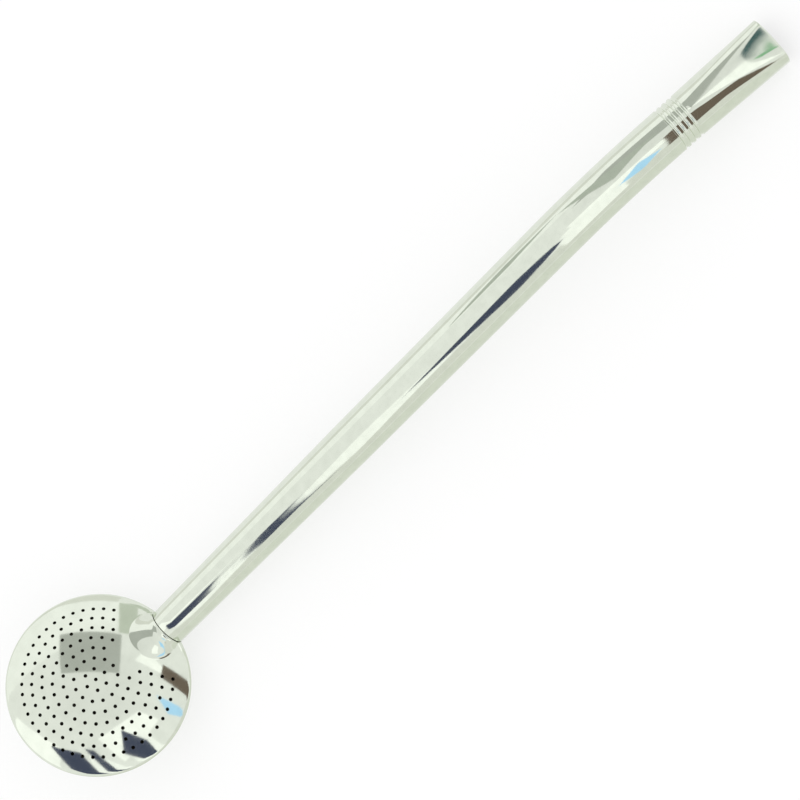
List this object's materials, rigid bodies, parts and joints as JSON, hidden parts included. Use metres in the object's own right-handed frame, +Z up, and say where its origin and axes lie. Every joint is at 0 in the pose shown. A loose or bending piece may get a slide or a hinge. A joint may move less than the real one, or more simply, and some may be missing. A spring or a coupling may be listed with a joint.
{
  "type": "bombilla",
  "caption": "Metal mate straw: a bent tapering tube with a flattened mouthpiece, a rolled ring band and a round domed strainer that turns and pulls off its push-fit spigot.",
  "frame": {"origin": "middle of the box, on the table that the bombilla lies on", "axes": "+X from the strainer to the mouth, +Z up from the table, on the side of the strainer's holes"},
  "size_m": [0.2288, 0.042, 0.0218],
  "materials": {
    "strainer_steel": "mirror-polished pressed stainless sheet",
    "stem_steel": "mirror-polished drawn stainless tube",
    "spigot_steel": "plain drawn tube"
  },
  "bodies": {
    "stem": {"stem_tube": "stem_steel", "mouthpiece": "stem_steel"},
    "coupling": {"spigot": "spigot_steel"},
    "head": {"front_shell": "strainer_steel", "back_shell": "strainer_steel"}
  },
  "joints": [
    {"name": "strainer_twist", "type": "hinge", "parent": "stem", "child": "coupling", "pos_m": [-0.07577, 0, 0.00647], "axis": [0.9985, 0, 0.0545], "continuous": true},
    {"name": "strainer_pull", "type": "slide", "parent": "coupling", "child": "head", "axis": [-0.9985, 0, -0.0545], "range_m": [0, 0.014]}
  ]
}
